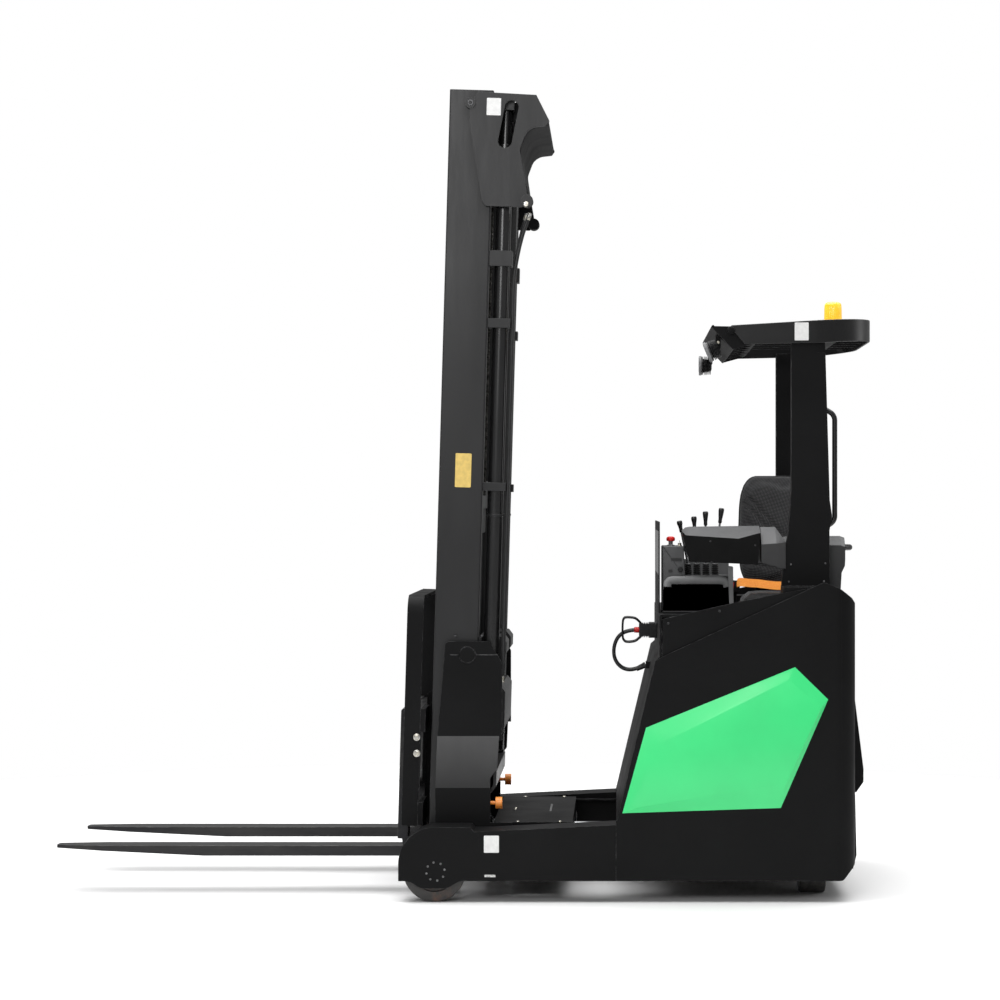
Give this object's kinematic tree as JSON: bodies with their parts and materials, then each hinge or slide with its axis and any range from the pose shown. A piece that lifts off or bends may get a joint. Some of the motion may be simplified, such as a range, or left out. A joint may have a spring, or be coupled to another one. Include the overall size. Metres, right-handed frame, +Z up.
{
  "type": "reach truck",
  "caption": "Side-seated electric reach truck: straddle legs, tilting three-stage reach mast with side-shifting forks, battery body with green covers and an overhead guard.",
  "frame": {"origin": "on the floor, under the centre of the truck's length and width", "axes": "+X from the forks towards the tractor, +Y across the truck, +Z up"},
  "size_m": [3.194, 1.298, 3.1279],
  "materials": {
    "black_paint": "satin black powder coat with fine texture",
    "mast_paint": "satin near-black paint on hot-rolled channel",
    "green_cover": "satin bright green moulded cover",
    "black_plastic": "fine-grained black plastic",
    "soft_black": "matte black rubber",
    "poly_tyre": "brown-orange polyurethane tyre",
    "orange_buffer": "orange polyurethane buffer",
    "chrome_rod": "hard chrome, polished",
    "steel_fork": "worn black paint over forged steel",
    "seat_fabric": "dark woven fabric",
    "amber_lens": "amber beacon lens",
    "battery_case": "painted steel battery case",
    "connector": "grey connector housing"
  },
  "bodies": {
    "chassis": {"left_leg": "black_paint", "right_leg": "black_paint", "left_side_panel": "black_paint", "right_side_panel": "black_paint", "left_guard_pillar": "black_paint", "right_guard_pillar": "black_paint", "battery_covers": "green_cover", "work_lights": "black_plastic", "reach_barrel": "black_paint", "front_wall": "black_paint", "rear_frame": "black_paint", "rear_wall": "black_paint", "floor_plate": "soft_black", "battery": "battery_case", "battery_hood": "black_paint", "battery_connector": "connector", "battery_cable_left": "soft_black", "battery_cable_right": "soft_black", "hydraulics_hood": "black_plastic", "lever_console": "black_plastic", "hand_controls": "black_plastic", "dash_console": "black_plastic", "dash_base": "black_plastic", "seat_frame": "black_paint", "seat_cushion": "seat_fabric", "seat_backrest": "seat_fabric", "guard_ring": "black_paint", "guard_roof": "black_paint", "beacon": "amber_lens", "grab_rail": "black_paint"},
    "left_wheel": {"left_load_wheel": "poly_tyre"},
    "right_wheel": {"right_load_wheel": "poly_tyre"},
    "drive_head": {"drive_unit": "black_paint"},
    "drive_tyre": {"drive_wheel": "poly_tyre"},
    "castor_head": {"castor_fork": "black_paint"},
    "castor_tyre": {"castor_wheel": "poly_tyre"},
    "steering": {"steering_wheel": "black_plastic"},
    "reach_carriage": {"reach_frame": "black_paint", "mast_brackets": "black_paint", "reach_rollers": "chrome_rod", "reach_buffers": "orange_buffer", "reach_ram": "chrome_rod", "tilt_barrels": "black_paint"},
    "tilt_pistons": {"tilt_rods": "chrome_rod"},
    "outer_mast": {"outer_rails": "mast_paint", "mast_head": "mast_paint", "outer_beams": "mast_paint", "lift_barrels": "black_paint", "mast_hoses": "soft_black"},
    "middle_mast": {"middle_stage": "mast_paint", "lift_rods": "chrome_rod"},
    "inner_mast": {"inner_stage": "mast_paint", "free_barrel": "black_paint"},
    "free_piston": {"free_ram": "chrome_rod"},
    "carriage": {"fork_carriage": "black_paint", "load_backrest": "black_paint"},
    "fork_set": {"fork_bars": "black_paint", "left_fork": "steel_fork", "right_fork": "steel_fork"}
  },
  "joints": [
    {"name": "left_wheel_spin", "type": "hinge", "parent": "chassis", "child": "left_wheel", "pos_m": [-0.095, -0.562, 0.12], "axis": [0, 1, 0], "continuous": true},
    {"name": "right_wheel_spin", "type": "hinge", "parent": "chassis", "child": "right_wheel", "pos_m": [-0.095, 0.562, 0.12], "axis": [0, 1, 0], "continuous": true},
    {"name": "drive_steer", "type": "hinge", "parent": "chassis", "child": "drive_head", "pos_m": [1.36, -0.345, 0.125], "axis": [0, 0, 1], "range_deg": [-180, 0]},
    {"name": "drive_spin", "type": "hinge", "parent": "drive_head", "child": "drive_tyre", "pos_m": [1.36, -0.345, 0.125], "axis": [1, 0, 0], "continuous": true},
    {"name": "castor_swivel", "type": "hinge", "parent": "chassis", "child": "castor_head", "pos_m": [1.36, 0.345, 0.075], "axis": [0, 0, 1], "continuous": true},
    {"name": "castor_spin", "type": "hinge", "parent": "castor_head", "child": "castor_tyre", "pos_m": [1.4, 0.345, 0.075], "axis": [0, 1, 0], "continuous": true},
    {"name": "steering_turn", "type": "hinge", "parent": "chassis", "child": "steering", "pos_m": [1.425, -0.18, 1.31], "axis": [0, 0, 1], "continuous": true},
    {"name": "reach", "type": "slide", "parent": "chassis", "child": "reach_carriage", "axis": [1, 0, 0], "range_m": [0, 0.45]},
    {"name": "mast_tilt", "type": "hinge", "parent": "reach_carriage", "child": "outer_mast", "pos_m": [0.02, 0, 0.931], "axis": [0, -1, 0], "range_deg": [-3.3, 3.6]},
    {"name": "tilt_rod_slide", "type": "slide", "parent": "reach_carriage", "child": "tilt_pistons", "axis": [1, 0, 0], "range_m": [-0.05, 0.05]},
    {"name": "middle_lift", "type": "slide", "parent": "outer_mast", "child": "middle_mast", "axis": [0.0286, 0, 0.9996], "range_m": [0, 2.2]},
    {"name": "inner_lift", "type": "slide", "parent": "middle_mast", "child": "inner_mast", "axis": [0.0286, 0, 0.9996], "range_m": [0, 2.2]},
    {"name": "carriage_lift", "type": "slide", "parent": "inner_mast", "child": "carriage", "axis": [0.0286, 0, 0.9996], "range_m": [-0.11, 1.86]},
    {"name": "free_ram_slide", "type": "slide", "parent": "inner_mast", "child": "free_piston", "axis": [0.0286, 0, 0.9996], "range_m": [-0.06, 0.95]},
    {"name": "side_shift", "type": "slide", "parent": "carriage", "child": "fork_set", "axis": [0, 1, 0], "range_m": [-0.05, 0.05]}
  ],
  "couplings": [
    {"joint": "tilt_rod_slide", "follows": "mast_tilt", "m_per_rad": 0.713},
    {"joint": "inner_lift", "follows": "middle_lift", "ratio": 1},
    {"joint": "free_ram_slide", "follows": "carriage_lift", "ratio": 0.5}
  ]
}
